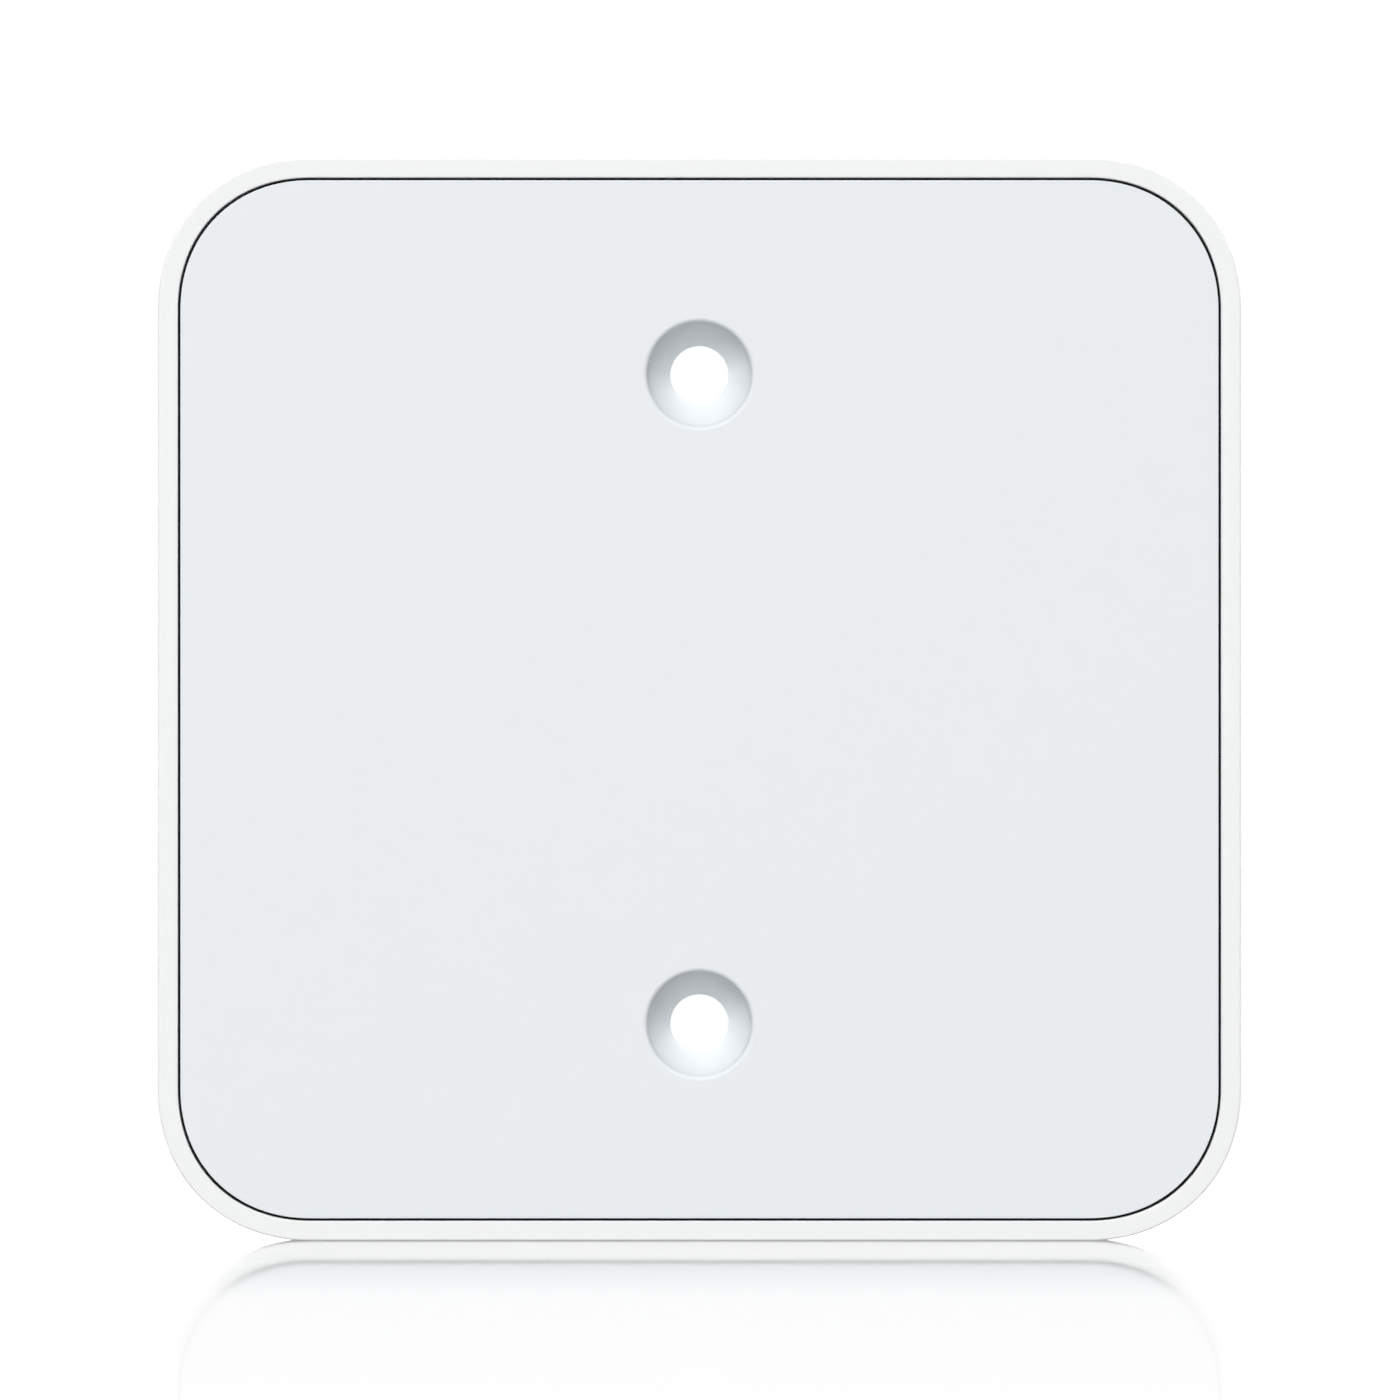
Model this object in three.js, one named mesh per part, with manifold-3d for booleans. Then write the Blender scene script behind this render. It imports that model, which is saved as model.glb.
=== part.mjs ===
// Magnetic mounting plate for a compact ceiling access point.
//
// A white moulded shell holds a steel yoke with eight disc magnets on it. A cool grey panel closes the
// shell, flush with its rim, and four small screws hold it from behind. Two countersunk bosses of the
// panel reach down to the shell's floor, so that two wall screws clamp panel and shell to the wall.
//
// Every piece is drawn lying on its back: x to the right, y up the wall, z out of the wall, in
// millimetres, with z = 0 on the wall. The last group turns the plate upright, so that its face
// looks along -Y and the line of the two wall screws runs along Z.

import * as THREE from "three";
import { mergeVertices } from "three/addons/utils/BufferGeometryUtils.js";
import Module from "manifold-3d";

const wasm = await Module();
wasm.setup();

// ---- driving dimensions ----

const SIDE = 100;
const DEPTH = 8;
const CORNER = 14.1;
const CORNER_POWER = 2.12; // 2 is a circular arc; slightly more eases the curve into the straight sides
const CORNER_STEPS = 9;
const EDGE_ROUND = 0.2;

const RIM = 1.85;
const SEAM = 0.22;
const SHELL_FLOOR = 2;
const YOKE_THICK = 1.2;
const PANEL_THICK = 1.3;
const PANEL_EDGE_ROUND = 0.15;

const WALL_SCREW_SPACING = 60;
const WALL_BORE_RADIUS = 2.7;
const SHELL_BORE_RADIUS = 3;
const CONE_RADIUS = 4.54;
const CONE_ANGLE = (36.5 * Math.PI) / 180; // between the cone's wall and its axis
const STEP_WIDTH = 0.28;
const STEP_ANGLE = (13 * Math.PI) / 180; // between the steep step's wall and its axis
const MOUTH_ROUND = 0.45;
const BOSS_RADIUS = 6.5;
const BOSS_SUNK = 0.5;
const BOSS_GAP = 0.3;

const GASKET_THICK = 0.5;
const GASKET_GAP = 0.05;
const GASKET_SUNK = 0.2;
const LEDGE = 1.3;
const LIP_GAP = 0.4;
const LIP_THICK = 1;
const LIP_HEIGHT = 1.7;
const RIB_THICK = 1.2;
const RIB_HEIGHT = 1.4;

const MAGNET_RADIUS = 6;
const MAGNET_THICK = 3;
const MAGNET_CHAMFER = 0.3;
const MAGNET_COLUMN = 26;
const MAGNET_PITCH = 22;
const POCKET_GAP = 0.25;
const POCKET_WALL = 1.35;
const POCKET_HEIGHT = 2.5;

const YOKE_INSET = 3.3;
const YOKE_HOLE_GAP = 0.4;
const WINDOW_WIDTH = 24;
const WINDOW_HEIGHT = 34;
const WINDOW_CORNER = 4;
const PEG_RADIUS = 1.5;
const PEG_PLACE = 40;
const PEG_PROUD = 0.7;
const PEG_GAP = 0.3;

const PANEL_SCREW_PLACE = 40.5;
const SEAT_RADIUS = 3.7;
const SHANK_RADIUS = 1.1;
const HEAD_RADIUS = 2.1;
const HEAD_HEIGHT = 1.3;
const HEAD_CROWN = 0.35;
const HEAD_SUNK = 0.3;
const COUNTERBORE_RADIUS = 2.5;
const SHANK_HOLE_RADIUS = 1.4;
const PILOT_RADIUS = 1.3;
const PANEL_BOSS_RADIUS = 3;
const TIP_GAP = 0.3;
const DRIVE_RADIUS = 0.9;
const DRIVE_DEPTH = 0.7;

const PAD_LENGTH = 30;
const PAD_WIDTH = 8.4;
const PAD_SUNK = 0.8;
const PAD_PROUD = 0.3;
const PAD_GAP = 0.3;
const PAD_EDGE_ROUND = 0.25;
const PAD_SIDE_PLACE = 39;
const PAD_END_PLACE = 41;

const RELIEF_SIDE = 64;
const RELIEF_CORNER = 6;
const RELIEF_DEPTH = 0.5;
const LAND_RADIUS = 7.5;

const CLEAR = 2; // how far a cutting tool runs past the faces that it cuts through
const BLEND = 0.3; // how far a joined feature reaches into the body that carries it

// ---- heights above the wall and half widths ----

const shellBack = PAD_PROUD;
const floorTop = shellBack + SHELL_FLOOR;
const yokeTop = floorTop + YOKE_THICK;
const magnetTop = yokeTop + MAGNET_THICK;
const panelBack = DEPTH - PANEL_THICK;
const ledgeTop = panelBack - GASKET_THICK;
const stepTop = DEPTH - MOUTH_ROUND * (1 - Math.sin(STEP_ANGLE));
const coneTop = stepTop - STEP_WIDTH / Math.tan(STEP_ANGLE);
const coneBottom = coneTop - (CONE_RADIUS - WALL_BORE_RADIUS) / Math.tan(CONE_ANGLE);
const bossBottom = floorTop - BOSS_SUNK;
const headBack = shellBack + HEAD_SUNK;
const headFront = headBack + HEAD_HEIGHT;

const half = SIDE / 2;
const wellHalf = half - RIM;
const wellCorner = CORNER - RIM;
const cavityHalf = wellHalf - LEDGE;
const cavityCorner = wellCorner - LEDGE;
const panelHalf = wellHalf - SEAM;
const panelCorner = wellCorner - SEAM;

const wallScrewPlaces = [-1, 1].map((side) => [0, (side * WALL_SCREW_SPACING) / 2]);
const panelScrewPlaces = [-1, 1].flatMap((row) =>
  [-1, 1].map((side) => [side * PANEL_SCREW_PLACE, row * PANEL_SCREW_PLACE]),
);
const magnetRows = [-1.5, -0.5, 0.5, 1.5].map((row) => row * MAGNET_PITCH);
const magnetPlaces = [-1, 1].flatMap((side) => magnetRows.map((y) => [side * MAGNET_COLUMN, y]));
const pegPlaces = [-1, 1].map((side) => [side * PEG_PLACE, 0]);
const padPlaces = {
  grip_pad_left: { at: [-PAD_SIDE_PLACE, 0], turnDegrees: 90 },
  grip_pad_right: { at: [PAD_SIDE_PLACE, 0], turnDegrees: 90 },
  grip_pad_top: { at: [0, PAD_END_PLACE], turnDegrees: 0 },
  grip_pad_bottom: { at: [0, -PAD_END_PLACE], turnDegrees: 0 },
};

// ---- solids ----

// A three.js geometry as a closed manifold solid.
function solid(geometry) {
  const bare = geometry.clone();
  bare.deleteAttribute("normal");
  bare.deleteAttribute("uv");
  const merged = mergeVertices(bare, 1e-4);
  return new wasm.Manifold(
    new wasm.Mesh({
      numProp: 3,
      vertProperties: merged.attributes.position.array,
      triVerts: new Uint32Array(merged.index.array),
    }),
  );
}

// A manifold solid back as a three.js geometry.
function geometryOf(body) {
  const mesh = body.getMesh();
  const geometry = new THREE.BufferGeometry();
  geometry.setAttribute("position", new THREE.BufferAttribute(mesh.vertProperties, mesh.numProp));
  geometry.setIndex(new THREE.BufferAttribute(mesh.triVerts, 1));
  geometry.computeVertexNormals();
  return geometry;
}

const join = (bodies) => bodies.reduce((whole, body) => whole.add(body));
const cut = (body, tools) => tools.reduce((left, tool) => left.subtract(tool), body);

// A square outline whose corners are superelliptic quarter turns of the given extent.
function easedSquare(halfSide, corner) {
  const middle = halfSide - corner;
  const centre = new THREE.Vector2();
  const points = [];
  for (let quarter = 0; quarter < 4; quarter++) {
    for (let step = 0; step <= CORNER_STEPS; step++) {
      const angle = ((step / CORNER_STEPS) * Math.PI) / 2;
      const x = middle + corner * Math.cos(angle) ** (2 / CORNER_POWER);
      const y = middle + corner * Math.sin(angle) ** (2 / CORNER_POWER);
      points.push(new THREE.Vector2(x, y).rotateAround(centre, (quarter * Math.PI) / 2));
    }
  }
  return new THREE.Shape(points);
}

// A rectangle outline with round corners; a slot when the corner is half its height.
function roundRectangle(width, height, corner) {
  const right = width / 2 - corner;
  const top = height / 2 - corner;
  const turn = Math.PI / 2;
  const shape = new THREE.Shape();
  shape.absarc(right, top, corner, 0, turn);
  shape.absarc(-right, top, corner, turn, 2 * turn);
  shape.absarc(-right, -top, corner, 2 * turn, 3 * turn);
  shape.absarc(right, -top, corner, 3 * turn, 4 * turn);
  return shape;
}

// A flat slab of an outline between two heights, with the edges of both faces rounded.
function slab(shape, from, to, edge = 0, edgeSteps = 1) {
  const geometry = new THREE.ExtrudeGeometry(shape, {
    depth: to - from - 2 * edge,
    curveSegments: 2,
    bevelEnabled: edge > 0,
    bevelThickness: edge,
    bevelSize: edge,
    bevelOffset: -edge,
    bevelSegments: edgeSteps,
  });
  return solid(geometry.translate(0, 0, from + edge));
}

// A solid turned about z at a place, from [radius, height] points that start and end on the axis.
function turned(profile, [x, y], steps) {
  const points = profile.map(([radius, height]) => new THREE.Vector2(radius, height));
  const geometry = new THREE.LatheGeometry(points, steps);
  return solid(geometry.rotateX(Math.PI / 2).translate(x, y, 0));
}

const rod = (place, radius, from, to, steps = 24) =>
  turned(
    [
      [0, from],
      [radius, from],
      [radius, to],
      [0, to],
    ],
    place,
    steps,
  );

const group = new THREE.Group();

function addPiece(name, body, colour, roughness, metalness) {
  const material = new THREE.MeshStandardMaterial({ color: colour, roughness, metalness });
  const mesh = new THREE.Mesh(geometryOf(body), material);
  mesh.name = name;
  group.add(mesh);
}

// ---- rear shell: rim, ledge and floor, with everything moulded on the floor ----

// The shallow relief in the shell's back, which leaves a round land about each wall screw.
function backRelief() {
  const outline = roundRectangle(RELIEF_SIDE, RELIEF_SIDE, RELIEF_CORNER);
  const area = slab(outline, shellBack - CLEAR, shellBack + RELIEF_DEPTH);
  return cut(
    area,
    wallScrewPlaces.map((place) => rod(place, LAND_RADIUS, -2 * CLEAR, floorTop)),
  );
}

// A slot-shaped slab at the place of one of the grip pads.
function padSlab({ at, turnDegrees }, grow, from, to, edge = 0) {
  const width = PAD_WIDTH + 2 * grow;
  const outline = roundRectangle(PAD_LENGTH + 2 * grow, width, width / 2);
  return slab(outline, from, to, edge).rotate([0, 0, turnDegrees]).translate([...at, 0]);
}

function rearShell() {
  const body = slab(easedSquare(half, CORNER), shellBack, DEPTH, EDGE_ROUND, 2);
  const well = slab(easedSquare(wellHalf, wellCorner), ledgeTop, DEPTH + CLEAR);
  const cavity = slab(easedSquare(cavityHalf, cavityCorner), floorTop, DEPTH);
  const padWells = Object.values(padPlaces).map((place) =>
    padSlab(place, PAD_GAP, -CLEAR, shellBack + PAD_SUNK),
  );
  const tray = cut(body, [well, cavity, backRelief(), ...padWells]);
  const seats = panelScrewPlaces.map((place) => rod(place, SEAT_RADIUS, floorTop - BLEND, yokeTop));
  const pegTop = yokeTop + PEG_PROUD;
  const pegs = pegPlaces.map((place) => rod(place, PEG_RADIUS, floorTop - BLEND, pegTop, 16));
  return cut(join([tray, ...seats, ...pegs]), [
    ...wallScrewPlaces.map((place) => rod(place, BOSS_RADIUS + BOSS_GAP, bossBottom, DEPTH, 32)),
    ...wallScrewPlaces.map((place) => rod(place, SHELL_BORE_RADIUS, -CLEAR, DEPTH)),
    ...panelScrewPlaces.map((place) => rod(place, COUNTERBORE_RADIUS, -CLEAR, headFront, 20)),
    ...panelScrewPlaces.map((place) => rod(place, SHANK_HOLE_RADIUS, 0, DEPTH, 16)),
  ]);
}

// ---- front panel: plate, locating lip, ribs, magnet rings and screw bosses ----

// A wall screw's way through the panel: bore, cone, steep step and the rounded mouth in the face.
function countersink(place) {
  const outside = CONE_RADIUS + STEP_WIDTH + MOUTH_ROUND * Math.cos(STEP_ANGLE);
  const mouth = [0, 1 / 3, 2 / 3, 1].map((part) => {
    const angle = STEP_ANGLE + part * (Math.PI / 2 - STEP_ANGLE);
    const height = DEPTH - MOUTH_ROUND * (1 - Math.sin(angle));
    return [outside - MOUTH_ROUND * Math.cos(angle), height];
  });
  return turned(
    [
      [0, 0],
      [WALL_BORE_RADIUS, 0],
      [WALL_BORE_RADIUS, coneBottom],
      [CONE_RADIUS, coneTop],
      ...mouth,
      [outside, DEPTH + CLEAR],
      [0, DEPTH + CLEAR],
    ],
    place,
    32,
  );
}

// A straight rib under the panel, along x or along y, from lip to lip.
function rib(lengthX, lengthY, x, y) {
  const geometry = new THREE.BoxGeometry(lengthX, lengthY, RIB_HEIGHT + BLEND);
  return solid(geometry.translate(x, y, panelBack - (RIB_HEIGHT - BLEND) / 2));
}

function frontPanel() {
  const plate = slab(easedSquare(panelHalf, panelCorner), panelBack, DEPTH, PANEL_EDGE_ROUND);
  const lipHalf = cavityHalf - LIP_GAP;
  const lipCorner = cavityCorner - LIP_GAP;
  const into = panelBack + BLEND;
  const lip = cut(slab(easedSquare(lipHalf, lipCorner), panelBack - LIP_HEIGHT, into), [
    slab(easedSquare(lipHalf - LIP_THICK, lipCorner - LIP_THICK), 0, DEPTH),
  ]);
  const ribLength = 2 * lipHalf - LIP_THICK;
  const pocketRadius = MAGNET_RADIUS + POCKET_GAP;
  const features = [
    ...[-1, 1].map((side) => rib(RIB_THICK, ribLength, side * MAGNET_COLUMN, 0)),
    ...magnetRows.map((y) => rib(ribLength, RIB_THICK, 0, y)),
    ...magnetPlaces.map((place) =>
      rod(place, pocketRadius + POCKET_WALL, panelBack - POCKET_HEIGHT, into, 20),
    ),
    ...panelScrewPlaces.map((place) => rod(place, PANEL_BOSS_RADIUS, yokeTop, into, 20)),
    ...wallScrewPlaces.map((place) => rod(place, BOSS_RADIUS, bossBottom, into, 32)),
  ];
  return cut(join([plate, lip, ...features]), [
    ...magnetPlaces.map((place) => rod(place, pocketRadius, 0, panelBack, 20)),
    ...panelScrewPlaces.map((place) => rod(place, PILOT_RADIUS, 0, panelBack, 12)),
    ...wallScrewPlaces.map(countersink),
  ]);
}

// ---- gasket: a black foam ring on the ledge, whose upstand fills the seam as a dark line ----

function panelGasket() {
  const outer = easedSquare(wellHalf - GASKET_GAP, wellCorner - GASKET_GAP);
  const inner = easedSquare(cavityHalf + GASKET_GAP, cavityCorner + GASKET_GAP);
  const seat = easedSquare(panelHalf + GASKET_GAP, panelCorner + GASKET_GAP);
  return cut(slab(outer, ledgeTop, DEPTH - GASKET_SUNK), [
    slab(inner, 0, DEPTH),
    slab(seat, panelBack, DEPTH),
  ]);
}

// ---- steel yoke: joins the magnets' flux and stiffens the plate ----

function steelYoke() {
  const plate = slab(easedSquare(cavityHalf - YOKE_INSET, cavityCorner), floorTop, yokeTop);
  return cut(plate, [
    slab(roundRectangle(WINDOW_WIDTH, WINDOW_HEIGHT, WINDOW_CORNER), 0, DEPTH),
    ...wallScrewPlaces.map((place) => rod(place, BOSS_RADIUS + YOKE_HOLE_GAP, 0, DEPTH, 32)),
    ...panelScrewPlaces.map((place) => rod(place, SEAT_RADIUS + YOKE_HOLE_GAP, 0, DEPTH)),
    ...pegPlaces.map((place) => rod(place, PEG_RADIUS + PEG_GAP, 0, DEPTH, 16)),
  ]);
}

// ---- magnets ----

function discMagnet(place) {
  const flat = MAGNET_RADIUS - MAGNET_CHAMFER;
  return turned(
    [
      [0, yokeTop],
      [flat, yokeTop],
      [MAGNET_RADIUS, yokeTop + MAGNET_CHAMFER],
      [MAGNET_RADIUS, magnetTop - MAGNET_CHAMFER],
      [flat, magnetTop],
      [0, magnetTop],
    ],
    place,
    20,
  );
}

// ---- panel screws: pan heads with a six-lobe drive, turned from the wall side ----

// A six-lobe outline: a circle whose radius swells and narrows six times round.
function sixLobe(radius) {
  const points = [];
  for (let step = 0; step < 24; step++) {
    const angle = (step / 24) * 2 * Math.PI;
    const reach = radius * (0.87 + 0.13 * Math.cos(6 * angle));
    points.push(new THREE.Vector2(reach * Math.cos(angle), reach * Math.sin(angle)));
  }
  return new THREE.Shape(points);
}

function panelScrew(place) {
  const tip = panelBack - TIP_GAP;
  const body = turned(
    [
      [0, headBack],
      [HEAD_RADIUS - HEAD_CROWN, headBack],
      [HEAD_RADIUS, headBack + HEAD_CROWN],
      [HEAD_RADIUS, headFront],
      [SHANK_RADIUS, headFront],
      [SHANK_RADIUS, tip - SHANK_RADIUS / 2],
      [SHANK_RADIUS / 2, tip],
      [0, tip],
    ],
    place,
    16,
  );
  const drive = slab(sixLobe(DRIVE_RADIUS), 0, headBack + DRIVE_DEPTH);
  return body.subtract(drive.translate([...place, 0]));
}

// ---- the assembly ----

addPiece("rear_shell", rearShell(), 0xf3f5f4, 0.45, 0);
addPiece("front_panel", frontPanel(), 0xeaeef1, 0.5, 0);
addPiece("panel_gasket", panelGasket(), 0x111213, 0.95, 0);
addPiece("steel_yoke", steelYoke(), 0xb4b9be, 0.35, 1);
magnetPlaces.forEach((place, i) => {
  addPiece(`magnet_${i + 1}`, discMagnet(place), 0xc9ccd0, 0.2, 1);
});
panelScrewPlaces.forEach((place, i) => {
  addPiece(`panel_screw_${i + 1}`, panelScrew(place), 0xa3a8ac, 0.35, 1);
});
for (const [name, place] of Object.entries(padPlaces)) {
  const body = padSlab(place, 0, 0, shellBack + PAD_SUNK, PAD_EDGE_ROUND);
  addPiece(name, body, 0x8d9295, 0.9, 0);
}

group.rotation.x = Math.PI / 2;

export default group;
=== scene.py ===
import math

import bmesh
import bpy
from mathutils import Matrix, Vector


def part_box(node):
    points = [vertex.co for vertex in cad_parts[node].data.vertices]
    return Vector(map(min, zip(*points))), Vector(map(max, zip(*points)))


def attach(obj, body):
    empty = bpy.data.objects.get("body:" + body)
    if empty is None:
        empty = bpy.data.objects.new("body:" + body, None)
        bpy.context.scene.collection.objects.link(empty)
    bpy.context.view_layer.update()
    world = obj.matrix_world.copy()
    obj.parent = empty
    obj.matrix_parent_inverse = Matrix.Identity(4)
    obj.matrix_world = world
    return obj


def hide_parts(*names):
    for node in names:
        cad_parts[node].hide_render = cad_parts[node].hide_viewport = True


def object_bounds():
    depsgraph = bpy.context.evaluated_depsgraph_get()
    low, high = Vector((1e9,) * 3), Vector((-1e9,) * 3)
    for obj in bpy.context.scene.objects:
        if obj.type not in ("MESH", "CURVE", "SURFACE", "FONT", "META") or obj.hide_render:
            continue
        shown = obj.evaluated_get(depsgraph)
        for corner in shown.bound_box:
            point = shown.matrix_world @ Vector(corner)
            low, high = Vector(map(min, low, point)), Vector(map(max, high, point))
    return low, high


bl_info = {
    "name": "Access point mounting plate",
    "version": (1, 0, 0),
    "blender": (4, 5, 0),
    "location": "3D View > Sidebar > Plate",
    "description": "Models a magnetic mounting plate for a ceiling access point, piece by piece",
    "category": "Object",
}

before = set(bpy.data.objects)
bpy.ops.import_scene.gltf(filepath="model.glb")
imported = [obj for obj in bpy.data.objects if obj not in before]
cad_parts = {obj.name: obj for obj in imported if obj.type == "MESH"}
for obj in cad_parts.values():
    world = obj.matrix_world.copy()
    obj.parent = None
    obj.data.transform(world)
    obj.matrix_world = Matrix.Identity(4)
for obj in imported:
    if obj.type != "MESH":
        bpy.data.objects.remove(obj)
CAD_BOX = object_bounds()

# ---- places that the frame gives: y is 0 on the wall and falls towards the face ----

SHELL_LOW, SHELL_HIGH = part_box("rear_shell")
PANEL_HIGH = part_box("front_panel")[1]
GASKET_LOW, GASKET_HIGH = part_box("panel_gasket")
YOKE_LOW, YOKE_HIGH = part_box("steel_yoke")
MAGNET_LOW, MAGNET_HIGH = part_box("magnet_1")
SCREW_LOW, SCREW_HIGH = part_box("panel_screw_1")

PANEL_THICK = 0.0013
GASKET_REST = 0.00125  # from the gasket's outer side to the inner edge of its ledge

SHELL_HALF = SHELL_HIGH.x
PANEL_HALF = PANEL_HIGH.x
GASKET_HALF = GASKET_HIGH.x
CAVITY_HALF = GASKET_HALF - GASKET_REST

FACE_Y = SHELL_LOW.y
SHELL_BACK_Y = SHELL_HIGH.y
PANEL_BACK_Y = FACE_Y + PANEL_THICK
LEDGE_Y = GASKET_HIGH.y
YOKE_FRONT_Y = YOKE_LOW.y
INNER_FLOOR_Y = YOKE_HIGH.y
BOSS_END_Y = PANEL_HIGH.y

MAGNETS = [name for name in sorted(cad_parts) if name.startswith("magnet_")]
SCREWS = [name for name in sorted(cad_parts) if name.startswith("panel_screw_")]
PADS = [name for name in sorted(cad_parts) if name.startswith("grip_pad_")]

UPRIGHT = (math.pi / 2, 0, 0)
PAST = 0.002  # how far a cutting tool runs past the faces that it cuts through
BLEND = 0.0003  # how far a joined feature reaches into the body that carries it
HAIR = 1e-7  # keeps the corners of a fully round end from overlapping as they are rounded
SHARP_FROM = math.radians(35)  # edges that turn by more than this stay sharp


def centre(node):
    """The middle of a CAD node's box, as x and z."""
    low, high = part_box(node)
    return ((low.x + high.x) / 2, (low.z + high.z) / 2)


def linear(hex_colour):
    """An sRGB hex colour as linear red, green and blue."""
    channels = [int(hex_colour[i : i + 2], 16) / 255 for i in (1, 3, 5)]
    return [c / 12.92 if c <= 0.04045 else ((c + 0.055) / 1.055) ** 2.4 for c in channels]


# ---- sizes and colours that a user would change ----


class PlateSizes(bpy.types.PropertyGroup):
    corner: bpy.props.FloatProperty(
        name="Corner",
        description="How far each eased corner reaches along the sides",
        default=0.0141,
        unit="LENGTH",
    )
    corner_fullness: bpy.props.FloatProperty(
        name="Corner fullness",
        description="0.5 is a circular corner, more is fuller",
        default=0.52,
        min=0.4,
        max=0.8,
    )
    edge_round: bpy.props.FloatProperty(
        name="Edge round",
        description="Radius of the shell's outer edges",
        default=0.0002,
        unit="LENGTH",
    )
    rim: bpy.props.FloatProperty(
        name="Rim",
        description="Width of the shell's flat rim",
        default=0.00185,
        unit="LENGTH",
    )
    rim_inner_round: bpy.props.FloatProperty(
        name="Rim inner round",
        description="Radius of the rim's edge at the seam",
        default=0.00015,
        unit="LENGTH",
    )
    panel_round: bpy.props.FloatProperty(
        name="Panel edge round",
        description="Radius of the panel's edge at the seam",
        default=0.00006,
        unit="LENGTH",
    )
    screw_spacing: bpy.props.FloatProperty(
        name="Wall screw spacing",
        description="Between the two wall screw holes",
        default=0.06,
        unit="LENGTH",
    )
    bore: bpy.props.FloatProperty(
        name="Bore radius",
        description="Radius of the wall screws' holes",
        default=0.0027,
        unit="LENGTH",
    )
    cone: bpy.props.FloatProperty(
        name="Cone radius",
        description="Outer radius of the countersinks' cones",
        default=0.00454,
        unit="LENGTH",
    )
    cone_angle: bpy.props.FloatProperty(
        name="Cone angle",
        description="Between the cone's wall and its axis",
        default=math.radians(36.5),
        subtype="ANGLE",
    )
    step: bpy.props.FloatProperty(
        name="Step width",
        description="Width of the steep step above each cone",
        default=0.00028,
        unit="LENGTH",
    )
    step_angle: bpy.props.FloatProperty(
        name="Step angle",
        description="Between the step's wall and its axis",
        default=math.radians(13),
        subtype="ANGLE",
    )
    mouth_round: bpy.props.FloatProperty(
        name="Mouth round",
        description="Radius of the countersinks' rounded mouths",
        default=0.00045,
        unit="LENGTH",
    )


class PlateColours(bpy.types.PropertyGroup):
    shell: bpy.props.FloatVectorProperty(
        name="Shell",
        description="White of the rear shell",
        default=linear("#F1F2F2"),
        subtype="COLOR",
        min=0,
        max=1,
    )
    panel: bpy.props.FloatVectorProperty(
        name="Panel",
        description="Cool grey of the panel",
        default=linear("#E8ECEF"),
        subtype="COLOR",
        min=0,
        max=1,
    )
    gasket: bpy.props.FloatVectorProperty(
        name="Gasket",
        description="Black of the foam gasket",
        default=linear("#08080A"),
        subtype="COLOR",
        min=0,
        max=1,
    )
    pad: bpy.props.FloatVectorProperty(
        name="Grip pads",
        description="Grey of the rubber pads",
        default=linear("#7C8184"),
        subtype="COLOR",
        min=0,
        max=1,
    )


# ---- modelling by hand: small steps that the pieces share ----


def clear_selection():
    """Back to object mode with nothing selected."""
    if bpy.context.object and bpy.context.object.mode != "OBJECT":
        bpy.ops.object.mode_set(mode="OBJECT")
    bpy.ops.object.select_all(action="DESELECT")


def take(piece):
    """Selects one object alone."""
    clear_selection()
    piece.select_set(True)
    bpy.context.view_layer.objects.active = piece


def edit_new():
    """Puts the new primitive's place into its mesh and opens it in edit mode, all selected."""
    bpy.ops.object.transform_apply(location=True, rotation=True, scale=True)
    bpy.ops.object.mode_set(mode="EDIT")
    bpy.ops.mesh.select_all(action="SELECT")
    return bpy.context.object


def pick(kind, test):
    """In edit mode, selects just the faces, edges or corners that pass a test."""
    bpy.ops.mesh.select_mode(type=kind)
    bpy.ops.mesh.select_all(action="DESELECT")
    mesh = bmesh.from_edit_mesh(bpy.context.object.data)
    parts = {"VERT": mesh.verts, "EDGE": mesh.edges, "FACE": mesh.faces}[kind]
    found = [part for part in parts if test(part)]
    if not found:
        raise RuntimeError("nothing was found to select")
    for part in found:
        part.select_set(True)
    mesh.select_flush_mode()
    bmesh.update_edit_mesh(bpy.context.object.data)


def pick_face_at(y, facing):
    """Selects the flat faces at a depth that look towards the wall (1) or away from it (-1)."""
    pick("FACE", lambda f: abs(f.calc_center_median().y - y) < 1e-6 and f.normal.y * facing > 0.999)


def pick_square_edges_at(y):
    """Selects the square-cut edges at a depth."""
    pick(
        "EDGE",
        lambda e: all(abs(v.co.y - y) < 1e-6 for v in e.verts)
        and len(e.link_faces) == 2
        and e.calc_face_angle() > math.radians(80),
    )


def extrude(depth):
    """Extrudes the selected faces along the depth: less than 0 is towards the plate's face."""
    bpy.ops.mesh.extrude_region_move(TRANSFORM_OT_translate={"value": (0, depth, 0)})


def inset(width):
    """Insets the selected faces in their own plane."""
    bpy.ops.mesh.inset(thickness=width, depth=0, use_even_offset=True)


def round_edges(radius, segments):
    """Rounds the selected edges."""
    bpy.ops.mesh.bevel(
        affect="EDGES", offset=radius, segments=segments, profile=0.5, clamp_overlap=False
    )


def round_face_rim(radius, segments):
    """Rounds the edges round the selected faces."""
    bpy.ops.mesh.region_to_loop()
    round_edges(radius, segments)


def slab(width, height, corner, back, front, at=(0, 0), fullness=0.5, segments=12):
    """A flat slab with round corners, left in edit mode with its front face selected."""
    clear_selection()
    bpy.ops.mesh.primitive_plane_add(size=1, location=(at[0], back, at[1]), rotation=UPRIGHT)
    bpy.context.object.scale = (width, height, 1)
    piece = edit_new()
    bpy.ops.mesh.bevel(
        affect="VERTICES", offset=corner, segments=segments, profile=fullness, clamp_overlap=False
    )
    bpy.ops.mesh.select_all(action="SELECT")
    bpy.ops.mesh.remove_doubles(threshold=1e-6)
    extrude(front - back)
    return piece


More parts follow.
